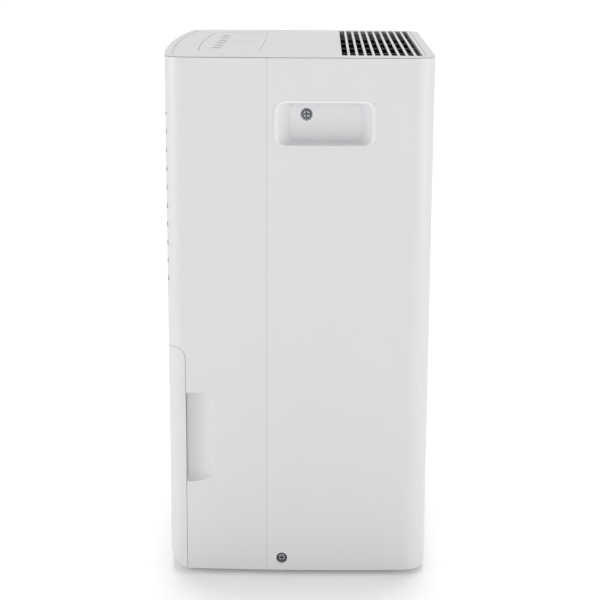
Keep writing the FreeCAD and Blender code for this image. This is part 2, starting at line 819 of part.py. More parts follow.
def grille_pocket():
    """The hollow in the cover's underside that leaves it thin around the outlet slots."""
    side_gap = 0.5
    end_gap = 0.3
    high = HEIGHT - GRILLE_THICKNESS
    return box(-DUCT_HALF - side_gap, DUCT_HALF + side_gap, SCROLL_FRONT - end_gap, DUCT_REAR + end_gap,
               COVER_LOW - OVERRUN, high)


def cover_groove():
    """The narrow groove that runs round the cover a little inside its edge."""
    low = HEIGHT - GROOVE_DEPTH
    high = HEIGHT + OVERRUN
    outline = [GROOVE_FRONT, GROOVE_SIDE, GROOVE_REAR]
    inner = [inset + GROOVE_WIDTH for inset in outline]
    return plan_block(low, high, *outline).cut(plan_block(low, high, *inner))


def top_cover():
    """The plate on top, with an overhanging lip, a groove, the outlet slots and the panel's seat."""
    lip_low = HEIGHT - COVER_LIP
    lip = evenly_inset(0.0, lip_low, HEIGHT)
    lip = lip.makeFillet(COVER_EDGE, edges_at_height(lip, HEIGHT))
    plate = evenly_inset(WALL + COVER_GAP, COVER_LOW, lip_low)
    seat_low = COVER_LOW - 2
    seat = panel_form(PANEL_SEAT, seat_low, COVER_LOW).cut(panel_form(-PANEL_SEAT, seat_low, COVER_LOW))
    panel_way = panel_form(PANEL_GAP, seat_low, HEIGHT + OVERRUN)
    cover = lip.fuse(plate).cut([panel_way, grille_pocket(), outlet_slots(), cover_groove()])
    return cover.fuse(seat).removeSplitter()


def outlet_guard():
    """Thin dark cross-bars close under the outlet slots, held by a rail in front and one behind."""
    low = DUCT_HIGH + GUARD_SEAT
    high = HEIGHT - GRILLE_THICKNESS - GUARD_GAP
    rear = DUCT_REAR - GUARD_GAP
    pieces = []
    for y in (SCROLL_FRONT, rear - GUARD_RAIL):
        pieces.append(box(-SLOT_HALF, SLOT_HALF, y, y + GUARD_RAIL, low, high))
    half = GUARD_BAR / 2
    for index in range(GUARD_BARS):
        x = (index - (GUARD_BARS - 1) / 2) * GUARD_PITCH
        pieces.append(box(x - half, x + half, SCROLL_FRONT, rear, high - GUARD_BAR_HEIGHT, high))
    return joined(pieces)


def key_x(index):
    """Where a key lies across the panel."""
    return (index - (len(KEY_NAMES) - 1) / 2) * KEY_PITCH


def control_panel():
    """Bowed plate with six key holes, a pocket for the window and posts for the board."""
    plate = panel_form(0.0, COVER_LOW, PANEL_TOP)
    plate = plate.makeFillet(PANEL_EDGE, edges_at_height(plate, PANEL_TOP))
    posts = []
    for x in (-PANEL_HALF + POST_INSET, PANEL_HALF - POST_INSET):
        for y in (PANEL_FRONT + POST_INSET, PANEL_REAR - POST_REAR_INSET):
            posts.append(rod(POST_RADIUS, (x, y, BOARD_TOP), Z_AXIS, COVER_LOW - BOARD_TOP + FUSION))
    plate = plate.fuse(posts)
    tools = []
    hole_length = HEIGHT - KEY_LOW + OVERRUN
    for index in range(len(KEY_NAMES)):
        tools.append(rod(KEY_RADIUS + KEY_PLAY, (key_x(index), KEY_Y, KEY_LOW), Z_AXIS, hole_length))
    pocket = (-WINDOW_HALF, WINDOW_HALF, WINDOW_FRONT, WINDOW_REAR, PANEL_TOP - WINDOW_DEPTH, HEIGHT)
    tools.append(rounded_box(pocket, Z_AXIS, WINDOW_CORNER))
    return plate.cut(tools).removeSplitter()


def display_window():
    """Plain window set into the panel."""
    gap = WINDOW_GAP
    limits = (-WINDOW_HALF + gap, WINDOW_HALF - gap, WINDOW_FRONT + gap, WINDOW_REAR - gap,
              PANEL_TOP - WINDOW_DEPTH, PANEL_TOP)
    return rounded_box(limits, Z_AXIS, WINDOW_CORNER - gap)


def panel_key(index):
    """Round key: a cap in the panel's hole, a collar below the panel and a stem to its switch."""
    x = key_x(index)
    cap = rod(KEY_RADIUS, (x, KEY_Y, KEY_LOW), Z_AXIS, HEIGHT - KEY_LOW)
    cap = cap.makeFillet(KEY_EDGE, edges_at_height(cap, HEIGHT))
    collar = rod(KEY_COLLAR, (x, KEY_Y, KEY_LOW), Z_AXIS, KEY_COLLAR_HIGH - KEY_LOW)
    stem_low = SWITCH_TOP + KEY_TRAVEL + KEY_STEM_GAP
    stem = rod(KEY_STEM, (x, KEY_Y, stem_low), Z_AXIS, KEY_LOW - stem_low + FUSION)
    return joined([cap, collar, stem])


def control_board():
    """Circuit board under the panel with a switch below each key and a display block."""
    board_low = BOARD_TOP - BOARD_THICKNESS
    board_half = PANEL_HALF - BOARD_INSET
    pieces = [box(-board_half, board_half, BOARD_FRONT, BOARD_REAR, board_low, BOARD_TOP)]
    base = BOARD_TOP - 0.2
    half = SWITCH_HALF
    for index in range(len(KEY_NAMES)):
        x = key_x(index)
        pieces.append(box(x - half, x + half, KEY_Y - half, KEY_Y + half, base, SWITCH_TOP - 1))
        dome_start = (x, KEY_Y, SWITCH_TOP - SWITCH_DOME_HEIGHT)
        pieces.append(rod(SWITCH_DOME, dome_start, Z_AXIS, SWITCH_DOME_HEIGHT))
    display_half = WINDOW_HALF - 2
    pieces.append(box(-display_half, display_half, WINDOW_FRONT + 1, WINDOW_REAR - 1, base, DISPLAY_TOP))
    return joined(pieces)


def bay_liner():
    """Ceiling, back and side walls of the tank's bay, with flanges that meet the casing."""
    outer = BAY_HALF + BAY_WALL
    ceiling_high = BAY_CEILING + LINER
    back_high = BAY_REAR + LINER
    front_y = TANK_EDGE_Y + TANK_GAP
    ceiling = box(-outer, outer, FILTER_REAR + LINER, back_high, BAY_CEILING, ceiling_high)
    back = box(-outer, outer, BAY_REAR, back_high, PAN_HIGH, ceiling_high)
    wall = box(BAY_HALF, outer, front_y, BAY_REAR + OVERRUN, PAN_HIGH, BAY_CEILING + OVERRUN)
    flange = box(outer - 1, SIDE - 6, front_y, front_y + BAY_WALL, PAN_HIGH, TANK_TOP - 1)
    scoop_room = box(outer, SIDE, front_y - 1, front_y + 3, SCOOP_LOW - 5, SCOOP_HIGH + 5)
    side = wall.fuse(flange.cut(scoop_room))
    liner = joined([ceiling, back, side, mirrored(side)])
    return liner.cut(rod(DRIP_RADIUS + 2, (0, SPOUT_Y, BAY_CEILING - OVERRUN), Z_AXIS, 10))


def base_pan():
    """Floor of the machine: bay floor with two runners, and blocks for the low screws."""
    plate = casing_form(PAN_LOW - FOOT_HEIGHT)
    plate = plate.common(box(-WIDTH, WIDTH, TANK_EDGE_Y + TANK_GAP, DEPTH, 0, PAN_HIGH))
    base = PAN_HIGH - 1
    runner_high = BUCKET_LOW - RUNNER_GAP
    pieces = [plate]
    for x in (-RUNNER_X, RUNNER_X):
        pieces.append(box(x - RUNNER_HALF, x + RUNNER_HALF, RUNNER_FRONT, BAY_REAR - 3, base, runner_high))
    screw_y, screw_z = LOW_SCREW
    block = box(SIDE - BLOCK_INNER, SIDE - BLOCK_OUTER, screw_y - BLOCK_HALF, screw_y + BLOCK_HALF,
                base, screw_z + BLOCK_RISE)
    pieces += [block, mirrored(block)]
    pan = joined(pieces)
    thread = rod(SCREW_SHANK, (SIDE - 20, *LOW_SCREW), X_AXIS, 15)
    notch = rod(SCREW_BOSS + 0.5, (SIDE - 8.1, *LOW_SCREW), X_AXIS, 10)
    return pan.cut([thread, mirrored(thread), notch, mirrored(notch)])


def feet():
    """Four rubber feet."""
    shapes = []
    for x in (-FOOT_X, FOOT_X):
        for y in (FOOT_FRONT, FOOT_REAR):
            foot = Part.makeCone(FOOT_RADIUS, FOOT_TOP_RADIUS, PAN_LOW, Vector(x, y, 0))
            shapes.append(foot.makeFillet(FOOT_EDGE, edges_at_height(foot, 0)))
    return Part.makeCompound(shapes)


def bucket_block(grow, low, high):
    """The bucket's rounded outline, grown or set in, between two heights."""
    limits = (-BUCKET_HALF - grow, BUCKET_HALF + grow, BUCKET_FRONT - grow, BUCKET_REAR + grow, low, high)
    return rounded_box(limits, Z_AXIS, BUCKET_CORNER + grow)


def tank_container():
    """Open bucket with rounded corners and a narrow rim."""
    outer = bucket_block(0.0, BUCKET_LOW, BUCKET_HIGH)
    outer = outer.makeFillet(BUCKET_TOE, edges_at_height(outer, BUCKET_LOW))
    floor = BUCKET_LOW + BUCKET_WALL
    inner = bucket_block(-BUCKET_WALL, floor, BUCKET_HIGH + OVERRUN)
    inner = inner.makeFillet(BUCKET_TOE - BUCKET_WALL, edges_at_height(inner, floor))
    rim = bucket_block(BUCKET_RIM, BUCKET_HIGH - BUCKET_RIM_THICKNESS, BUCKET_HIGH)
    return outer.fuse(rim).cut(inner).removeSplitter()


def handle_ear():
    """Ear on the lid with the handle's pin on its inner face."""
    inner = HANDLE_HALF + EAR_GAP
    ear = box(inner, inner + EAR_THICKNESS, HANDLE_Y - EAR_HALF, HANDLE_Y + EAR_HALF,
              LID_HIGH - OVERRUN, HANDLE_Z + EAR_HALF)
    tops = [edge for edge in edges_along(ear, X_AXIS) if edge.Vertexes[0].Point.z > HANDLE_Z]
    ear = ear.makeFillet(EAR_HALF - 0.5, tops)
    pin_start = HANDLE_HALF - HANDLE_ARM - 0.8
    pin = rod(PIN_RADIUS, (pin_start, HANDLE_Y, HANDLE_Z), X_AXIS, inner + 1.6 - pin_start)
    return ear.fuse(pin)


def float_bracket():
    """Two lugs under the lid with the float's pin between them."""
    half = 5.0
    high = BUCKET_HIGH + OVERRUN
    outer = LUG_X + LUG_THICKNESS
    left = box(FLOAT_X - outer, FLOAT_X - LUG_X, FLOAT_Y - half, FLOAT_Y + half, FLOAT_Z - half, high)
    right = box(FLOAT_X + LUG_X, FLOAT_X + outer, FLOAT_Y - half, FLOAT_Y + half, FLOAT_Z - half, high)
    pin = rod(FLOAT_PIN, (FLOAT_X - outer, FLOAT_Y, FLOAT_Z), X_AXIS, 2 * outer)
    return left.fuse([right, pin])


def tank_lid():
    """Lid with a drip opening, a pouring corner, ears for the handle and lugs for the float."""
    plate = bucket_block(BUCKET_RIM, LID_LOW, LID_HIGH)
    inset = BUCKET_WALL + LID_PLAY
    plug_low = LID_LOW - LID_PLUG_DEPTH
    plug = bucket_block(-inset, plug_low, LID_LOW + OVERRUN)
    plug = plug.cut(bucket_block(-inset - LID_PLUG_WALL, plug_low - OVERRUN, LID_LOW))
    ear = handle_ear()
    lid = joined([plate, plug, ear, mirrored(ear), float_bracket()])
    through = (LID_LOW - OVERRUN, LID_HIGH + OVERRUN)
    drip = rounded_box((*DRIP_OPENING, *through), Z_AXIS, LID_OPENING_CORNER)
    pour = rounded_box((*POURING_CORNER, *through), Z_AXIS, LID_OPENING_CORNER)
    return lid.cut([drip, pour])


def tank_panel_wall():
    """The tank's share of the casing's wall."""
    return OUTER_FORM.cut(INNER_FORM).common(tank_region(-TANK_GAP / 2))


def level_window_form(grow):
    """The upright slot of the level window, through the front wall."""
    half = LEVEL_HALF + grow
    limits = (-half, half, FRONT - OVERRUN, FRONT + LEVEL_THICKNESS, LEVEL_LOW - grow, LEVEL_HIGH + grow)
    return rounded_box(limits, Y_AXIS, half - 0.05)


def tank_front_panel():
    """The lower front of the machine: two webs fix it to the bucket, and its edges turn in for a grip."""
    top = TANK_TOP - TANK_GAP / 2
    flange = INNER_FORM.common(box(-WIDTH, WIDTH, -DEPTH, RAIL_FRONT, top - WALL, top))
    web = box(WEB_X, WEB_X + WEB_THICKNESS, -DEPTH, BUCKET_FRONT, BUCKET_LOW, BUCKET_HIGH - 3)
    web = web.common(INNER_FORM)
    edge_y = TANK_EDGE_Y - TANK_GAP / 2
    grip = box(GRIP_INNER, SIDE, edge_y - GRIP_THICKNESS, edge_y, SCOOP_LOW - 2, SCOOP_HIGH + 2)
    grip = grip.common(SKIN_FORM)
    panel = joined([tank_panel_wall(), flange, web, mirrored(web), grip, mirrored(grip)])
    return panel.cut(level_window_form(LEVEL_GAP))


def level_window():
    """Clear strip in the tank's front."""
    return level_window_form(0.0).common(tank_panel_wall())


def tank_handle():
    """Flat bail that lies on the lid and turns on the ears' pins."""
    inner = HANDLE_HALF - HANDLE_ARM
    low = HANDLE_Z - HANDLE_HEIGHT / 2
    high = HANDLE_Z + HANDLE_HEIGHT / 2
    far = HANDLE_Y + HANDLE_REACH
    arm = box(inner, HANDLE_HALF, HANDLE_Y, far, low, high)
    boss = rod(HANDLE_BOSS, (inner, HANDLE_Y, HANDLE_Z), X_AXIS, HANDLE_ARM)
    bore = rod(PIN_RADIUS + PIN_CLEARANCE, (inner - 1, HANDLE_Y, HANDLE_Z), X_AXIS, HANDLE_ARM + 2)
    arm = arm.fuse(boss).cut(bore)
    limits = (-HANDLE_HALF, HANDLE_HALF, far - HANDLE_BAR, far + HANDLE_BAR, low, high)
    bar = rounded_box(limits, X_AXIS, HANDLE_BAR_CORNER)
    return joined([arm, mirrored(arm), bar])


def float_block():
    """Float with a bored barrel on the pin and a holder for the magnet behind it."""
    left = FLOAT_X - FLOAT_HALF
    right = FLOAT_X + FLOAT_HALF
    under = FLOAT_Z - FLOAT_DROP
    barrel = box(left, right, FLOAT_Y - FLOAT_DROP, FLOAT_Y + FLOAT_BARREL, under, FLOAT_Z + FLOAT_BARREL)
    body = box(left, right, FLOAT_Y - FLOAT_FRONT, FLOAT_Y - FLOAT_BACK, under - FLOAT_DEPTH, under)
    body = body.makeFillet(FLOAT_CORNER, edges_along(body, Z_AXIS))
    neck = box(FLOAT_X - FLOAT_NECK, FLOAT_X + FLOAT_NECK, FLOAT_Y - FLOAT_DEPTH, FLOAT_Y - FLOAT_NECK,
               under - 2, FLOAT_Z + 2)
    block = joined([barrel, body, neck])
    bore_length = 2 * (FLOAT_HALF + OVERRUN)
    bore = rod(FLOAT_PIN + FLOAT_CLEARANCE, (left - OVERRUN, FLOAT_Y, FLOAT_Z), X_AXIS, bore_length)
    pocket = rod(MAGNET_RADIUS, (FLOAT_X, MAGNET_Y, FLOAT_Z), Y_AXIS, 5)
    return block.cut([bore, pocket])


def float_magnet():
    """Disc magnet in the float's rear end."""
    return rod(MAGNET_RADIUS, (FLOAT_X, MAGNET_Y, FLOAT_Z), Y_AXIS, MAGNET_THICKNESS)


def reed_switch():
    """Switch behind the bay's back wall, worked by the float's magnet."""
    low = BAY_REAR + LINER
    block = box(FLOAT_X - 13, FLOAT_X + 13, low, low + 8, FLOAT_Z - 7, FLOAT_Z + 7)
    tab = box(FLOAT_X - 20, FLOAT_X + 20, low, low + 2, FLOAT_Z - 5, FLOAT_Z + 5)
    return block.fuse(tab).removeSplitter()


def filter_frame():
    """Frame of the air filter: border, four bars and a pull tab below."""
    half = FILTER_HALF
    rim = FILTER_BORDER
    border = box(-half, half, FILTER_FRONT, FILTER_REAR, FILTER_LOW, FILTER_HIGH)
    inside = box(-half + rim, half - rim, -DEPTH, 0, FILTER_LOW + rim, FILTER_HIGH - rim)
    pieces = [border.cut(inside)]
    front = FILTER_FRONT + FILTER_BAR_SET
    rear = FILTER_REAR - FILTER_BAR_SET
    bar = FILTER_BAR / 2
    low = FILTER_LOW + rim - 1
    high = FILTER_HIGH - rim + 1
    for step in (-1, 0, 1):
        x = step * FILTER_BAR_PITCH
        pieces.append(box(x - bar, x + bar, front, rear, low, high))
    middle = (FILTER_LOW + FILTER_HIGH) / 2
    pieces.append(box(-half + rim - 1, half - rim + 1, front, rear, middle - bar, middle + bar))
    tab_low = FILTER_LOW - FILTER_TAB_DEPTH
    pieces.append(box(-FILTER_TAB_HALF, FILTER_TAB_HALF, front + FILTER_BAR_SET, rear - FILTER_BAR_SET,
                      tab_low, FILTER_LOW + OVERRUN))
    return joined(pieces).cut(filter_mesh())


def filter_mesh():
    """Thin sheet held in the frame's groove."""
    centre = (FILTER_FRONT + FILTER_REAR) / 2
    half = FILTER_HALF - FILTER_HOLD
    sheet = FILTER_MESH / 2
    low = FILTER_LOW + FILTER_HOLD
    high = FILTER_HIGH - FILTER_HOLD
    return box(-half, half, centre - sheet, centre + sheet, low, high)


def pipe_path(points, bend):
    """A wire of straight runs joined by tangent arcs."""
    points = [Vector(*point) for point in points]
    edges = []
    start = points[0]
    for index in range(1, len(points) - 1):
        corner = points[index]
        back = points[index - 1] - corner
        ahead = points[index + 1] - corner
        half_back = back.Length / 2 if index > 1 else back.Length
        half_ahead = ahead.Length / 2 if index < len(points) - 2 else ahead.Length
        half_angle = back.getAngle(ahead) / 2
        reach = min(bend, half_back, half_ahead)
        back.normalize()
        ahead.normalize()
        arc_start = corner + back * reach
        arc_end = corner + ahead * reach
        radius = reach * math.tan(half_angle)
        middle = (back + ahead).normalize()
        arc_middle = corner + middle * (radius / math.sin(half_angle) - radius)
        if (arc_start - start).Length > TINY:
            edges.append(Part.LineSegment(start, arc_start).toShape())
        edges.append(Part.Arc(arc_start, arc_middle, arc_end).toShape())
        start = arc_end
    edges.append(Part.LineSegment(start, points[-1]).toShape())
    return Part.Wire(edges)


def tube_along(points, bend, outer, inner):
    """A hollow tube along a bent path."""
    path = pipe_path(points, bend)
    start = Vector(*points[0])
    direction = Vector(*points[1]) - start
    rings = []
    for radius in (outer, inner):
        rings.append(Part.Wire(Part.makeCircle(radius, start, direction)))
    section = Part.Face(rings[0]).cut(Part.Face(rings[1]))
    return path.makePipe(section.Faces[0])


def coil_path(columns, start_x):
    """A serpentine: up the first column of rows, over to the second and down again."""
    bend_x = math.copysign(COIL_BEND_X, start_x)
    heights = [COIL_FIRST_ROW + row * COIL_ROW_PITCH for row in range(COIL_ROWS)]
    points = [(start_x, columns[0], heights[0])]
    x = -bend_x
    for low, high in zip(heights, heights[1:]):
        points.append((x, columns[0], low))
        points.append((x, columns[0], high))
        x = -x
    points.append((x, columns[0], heights[-1]))
    points.append((x, columns[1], heights[-1]))
    x = -x
    for high, low in zip(reversed(heights), reversed(heights[:-1])):
        points.append((x, columns[1], high))
        points.append((x, columns[1], low))
        x = -x
    points.append((start_x, columns[1], heights[0]))
    return points


def coil_tubes(columns, start_x):
    """The copper tube of a coil."""
    return tube_along(coil_path(columns, start_x), COIL_ROW_PITCH / 2, COIL_TUBE, COIL_TUBE - COIL_TUBE_WALL)


def coil_fins(columns):
    """Upright fins on the tubes, with a thicker plate at each end."""
    y_low = min(columns) - FIN_REACH
    y_high = max(columns) + FIN_REACH
    holes = []
    for y in columns:
        for row in range(COIL_ROWS):
            z = COIL_FIRST_ROW + row * COIL_ROW_PITCH
            holes.append(rod(COIL_TUBE, (-FIN_END, y, z), X_AXIS, 2 * FIN_END))
    fin = box(-FIN_THICKNESS / 2, FIN_THICKNESS / 2, y_low, y_high, COIL_LOW, COIL_HIGH).cut(holes)
    end = box(-FIN_END / 2, FIN_END / 2, y_low, y_high, COIL_LOW, COIL_HIGH).cut(holes)
    count = int(2 * COIL_HALF / FIN_PITCH)
    plates = []
    for index in range(1, count):
        plates.append(fin.translated(Vector(index * FIN_PITCH - COIL_HALF, 0, 0)))
    plates.append(end.translated(Vector(-COIL_HALF, 0, 0)))
    plates.append(end.translated(Vector(COIL_HALF, 0, 0)))
    return Part.makeCompound(plates)


def drip_tray():
    """Tray under the coils with a spout over the tank and a hole for the drain pipe."""
    wall = TRAY_WALL
    high = TRAY_LOW + TRAY_HEIGHT
    tray = box(-TRAY_HALF, TRAY_HALF, TRAY_FRONT, TRAY_REAR, TRAY_LOW, high)
    tray = tray.cut(box(-TRAY_HALF + wall, TRAY_HALF - wall, TRAY_FRONT + wall, TRAY_REAR - wall,
                        TRAY_LOW + wall, high + OVERRUN))
    tray = tray.fuse(rod(DRIP_RADIUS, (0, SPOUT_Y, BAY_CEILING - 1.5), Z_AXIS, 8)).removeSplitter()
    spout = rod(DRIP_BORE, (0, SPOUT_Y, BAY_CEILING - 5), Z_AXIS, 20)
    outlet = rod(DRAIN_OUTER, (DRAIN_X, TRAY_REAR - 10, DRAIN_Z), Y_AXIS, 20)
    return tray.cut([spout, outlet])


def drain_pipe():
    """Pipe from the tray to the back, where its end is the hose spout."""
    start = TRAY_REAR - TRAY_WALL
    pipe = rod(DRAIN_OUTER, (DRAIN_X, start, DRAIN_Z), Y_AXIS, SPOUT_START - start)
    spout = rod(SPOUT_RADIUS, (DRAIN_X, SPOUT_START, DRAIN_Z), Y_AXIS, DRAIN_END - SPOUT_START)
    return pipe.fuse(spout).cut(rod(DRAIN_BORE, (DRAIN_X, start - OVERRUN, DRAIN_Z), Y_AXIS, DEPTH))


def drain_plug():
    """Rubber bung in the spout's bore."""
    radius = DRAIN_BORE - BUNG_CLEARANCE
    bung = rod(radius, (DRAIN_X, DRAIN_END - BUNG_LENGTH, DRAIN_Z), Y_AXIS, BUNG_LENGTH + 0.5)
    head = rod(SPOUT_RADIUS - 0.2, (DRAIN_X, DRAIN_END + 0.1, DRAIN_Z), Y_AXIS, REAR - DRAIN_END - 0.2)
    return bung.fuse(head).removeSplitter()


def cord_gland():
    """Bush in the back that the supply cord comes out of."""
    flange = rod(GLAND_FLANGE, (GLAND_X, REAR - GLAND_HOLLOW_DEPTH, GLAND_Z), Y_AXIS, GLAND_FLANGE_THICKNESS)
    barrel_length = GLAND_LENGTH - GLAND_HOLLOW_DEPTH + FUSION
    barrel = rod(GLAND_BARREL, (GLAND_X, REAR - GLAND_LENGTH, GLAND_Z), Y_AXIS, barrel_length)
    start = Vector(GLAND_X, REAR - GLAND_NOSE_LENGTH, GLAND_Z)
    nose = Part.makeCone(GLAND_NOSE, GLAND_TIP, GLAND_NOSE_LENGTH, start, Y_AXIS)
    bore = rod(CORD_BORE, (GLAND_X, 0, GLAND_Z), Y_AXIS, DEPTH)
    return joined([flange, barrel, nose]).cut(bore)


def scroll_face(grow):
    """The volute's outline across the Y axis: quarter arcs of growing radius, then a straight duct."""
    first = SCROLL_START + grow
    second = SCROLL_START + SCROLL_STEP + grow
    third = SCROLL_START + 2 * SCROLL_STEP + grow
    y = SCROLL_FRONT
    angle = math.radians(TONGUE_ANGLE)

    def at(centre_x, centre_z, radius, turn):
        return Vector(centre_x + radius * math.cos(turn), y, centre_z + radius * math.sin(turn))

    quarter = math.pi / 2
    tongue = at(FAN_X, FAN_Z, first, angle)
    right = at(FAN_X, FAN_Z, first, 0)
    second_x = FAN_X - SCROLL_STEP
    bottom = at(second_x, FAN_Z, second, -quarter)
    third_z = FAN_Z + SCROLL_STEP
    left = at(second_x, third_z, third, -2 * quarter)
    top_left = Vector(left.x, y, SCROLL_TOP)
    top_right = Vector(tongue.x, y, SCROLL_TOP)
    edges = [
        Part.Arc(tongue, at(FAN_X, FAN_Z, first, angle / 2), right).toShape(),
        Part.Arc(right, at(second_x, FAN_Z, second, -quarter / 2), bottom).toShape(),
        Part.Arc(bottom, at(second_x, third_z, third, -1.5 * quarter), left).toShape(),
        Part.LineSegment(left, top_left).toShape(),
        Part.LineSegment(top_left, top_right).toShape(),
        Part.LineSegment(top_right, tongue).toShape(),
    ]
    return Part.Face(Part.Wire(edges))


def scroll_block(grow, front, rear):
    """The volute's outline between two planes across the Y axis."""
    face = scroll_face(grow)
    face.translate(Vector(0, front - SCROLL_FRONT, 0))
    return face.extrude(Vector(0, rear - front, 0))


def fan_housing():
    """Volute wall with its back plate, open above into the outlet duct."""
    outer = scroll_block(SCROLL_WALL, SCROLL_FRONT, SCROLL_REAR + SCROLL_WALL)
    inner = scroll_block(0.0, SCROLL_FRONT - OVERRUN, SCROLL_REAR)
    throat = inner.translated(Vector(0, 0, THROAT_RISE))
    throat = throat.common(box(-WIDTH, WIDTH, 0, SCROLL_REAR, SCROLL_TOP - THROAT_DEPTH, HEIGHT))
    hole = rod(MOTOR_TAIL + 0.5, (FAN_X, SCROLL_REAR - 1, FAN_Z), Y_AXIS, 10)
    return outer.cut([inner.fuse(throat), hole])


def fan_inlet_plate():
    """Front plate of the volute with a flared round inlet."""
    start = Vector(FAN_X, SCROLL_FRONT - SCROLL_WALL - INLET_LIP, FAN_Z)
    plate = scroll_block(SCROLL_WALL, SCROLL_FRONT - SCROLL_WALL, SCROLL_FRONT)
    mouth = Part.makeCone(INLET_RADIUS + INLET_WALL, INLET_THROAT + INLET_WALL, INLET_DEPTH, start, Y_AXIS)
    bore = Part.makeCone(INLET_RADIUS, INLET_THROAT, INLET_DEPTH, start, Y_AXIS)
    return plate.fuse(mouth).cut(bore).removeSplitter()


def outlet_duct():
    """Open-topped box that spreads the air from the volute under the slots."""
    front = SCROLL_FRONT
    wall = DUCT_WALL
    duct = box(-DUCT_HALF, DUCT_HALF, front, DUCT_REAR, DUCT_LOW, DUCT_HIGH)
    duct = duct.cut(box(-DUCT_HALF + wall, DUCT_HALF - wall, front + wall, DUCT_REAR - wall,
                        DUCT_LOW + wall, HEIGHT))
    left = FAN_X - SCROLL_START - 3 * SCROLL_STEP
    right = FAN_X + SCROLL_START * math.cos(math.radians(TONGUE_ANGLE))
    throat = box(left, right, front + wall, SCROLL_REAR, DUCT_LOW - OVERRUN, DUCT_LOW + wall + OVERRUN)
    return duct.cut(throat)


def fan_motor():
    """Motor on the back plate, nested in the wheel, with its shaft."""
    can = rod(MOTOR_RADIUS, (FAN_X, MOTOR_FRONT, FAN_Z), Y_AXIS, SCROLL_REAR - MOTOR_FRONT)
    front_edge = [edge for edge in can.Edges if abs(edge.BoundBox.YMax - MOTOR_FRONT) < TINY]
    can = can.makeFillet(MOTOR_EDGE, front_edge)
    boss = rod(MOTOR_BOSS, (FAN_X, MOTOR_FRONT - 3, FAN_Z), Y_AXIS, 5)
    shaft = rod(SHAFT_RADIUS, (FAN_X, SHAFT_FRONT, FAN_Z), Y_AXIS, SHAFT_LENGTH)
    tail = rod(MOTOR_TAIL, (FAN_X, SCROLL_REAR - 1, FAN_Z), Y_AXIS, 5)
    return joined([can, boss, shaft, tail])


def wheel_ring(front):
    """One of the two rings that hold the blades' ends."""
    return ring(WHEEL_RING_OUTER, WHEEL_RING_INNER, (FAN_X, front, FAN_Z), Y_AXIS, WHEEL_RING_THICKNESS)


def fan_wheel():
    """Drum of curved-forward blades between two rings, driven through a disc."""
    disc = rod(WHEEL_RADIUS, (FAN_X, WHEEL_DISC_Y, FAN_Z), Y_AXIS, WHEEL_DISC_THICKNESS)
    hub = rod(HUB_RADIUS, (FAN_X, HUB_FRONT, FAN_Z), Y_AXIS, HUB_LENGTH)
    tip = FAN_X + WHEEL_RADIUS
    half = BLADE_THICKNESS / 2
    blade = box(tip - BLADE_DEPTH, tip - 0.5, WHEEL_FRONT + 1, WHEEL_REAR - 1, FAN_Z - half, FAN_Z + half)
    blade.rotate(Vector(tip, 0, FAN_Z), Y_AXIS, BLADE_LEAN)
    pieces = [wheel_ring(WHEEL_REAR - WHEEL_RING_THICKNESS), disc, hub]
    for index in range(BLADES):
        turned = blade.copy()
        turned.rotate(Vector(FAN_X, 0, FAN_Z), Y_AXIS, index * 360.0 / BLADES)
        pieces.append(turned)
    wheel = wheel_ring(WHEEL_FRONT).fuse(pieces)
    bore = rod(SHAFT_RADIUS + SHAFT_CLEARANCE, (FAN_X, HUB_FRONT - 10, FAN_Z), Y_AXIS, HUB_LENGTH + 20)
    return wheel.cut(bore)


def compressor_feet_points():
    """Centres of the three compressor mounts."""
    points = []
    for index in range(3):
        angle = index * 2 * math.pi / 3
        x = COMPRESSOR_X + FOOT_CIRCLE * math.cos(angle)
        y = COMPRESSOR_Y + FOOT_CIRCLE * math.sin(angle)
        points.append((x, y))
    return points


def compressor():
    """Upright can with domed ends, a terminal cover and a three-armed foot."""
    height = COMPRESSOR_HIGH - COMPRESSOR_LOW
    can = rod(COMPRESSOR_RADIUS, (COMPRESSOR_X, COMPRESSOR_Y, COMPRESSOR_LOW), Z_AXIS, height)
    ends = edges_at_height(can, COMPRESSOR_LOW) + edges_at_height(can, COMPRESSOR_HIGH)
    can = can.makeFillet(COMPRESSOR_DOME, ends)
    base = COMPRESSOR_HIGH - 4
    x, y = TERMINAL_OFFSET
    cover = rod(TERMINAL_RADIUS, (COMPRESSOR_X + x, COMPRESSOR_Y + y, base), Z_AXIS, 16)
    x, y = OUTLET_OFFSET
    stub = rod(OUTLET_RADIUS, (COMPRESSOR_X + x, COMPRESSOR_Y + y, base), Z_AXIS, 10)
    pieces = [can, cover, stub]
    for x, y in compressor_feet_points():
        pad = rod(ARM_HALF, (x, y, GROMMET_HIGH), Z_AXIS, COMPRESSOR_LOW - GROMMET_HIGH)
        angle = math.degrees(math.atan2(y - COMPRESSOR_Y, x - COMPRESSOR_X))
        arm = box(COMPRESSOR_X, COMPRESSOR_X + FOOT_CIRCLE, COMPRESSOR_Y - ARM_HALF, COMPRESSOR_Y + ARM_HALF,
                  GROMMET_HIGH, COMPRESSOR_LOW)
        arm.rotate(Vector(COMPRESSOR_X, COMPRESSOR_Y, 0), Z_AXIS, angle)
        pieces += [pad, arm]
    holes = [rod(BOLT_HOLE, (x, y, GROMMET_HIGH - 1), Z_AXIS, 5) for x, y in compressor_feet_points()]
    return joined(pieces).cut(holes)


def compressor_grommets():
    """Rubber mounts under the compressor's arms."""
    shapes = []
    for x, y in compressor_feet_points():
        lower = ring(ARM_HALF, BOLT_HOLE, (x, y, PAN_HIGH), Z_AXIS, GROMMET_HIGH - PAN_HIGH)
        waist = ring(ARM_HALF + 3, GROMMET_WAIST, (x, y, PAN_HIGH + 5), Z_AXIS, 3)
        shapes.append(lower.cut(waist))
    return Part.makeCompound(shapes)


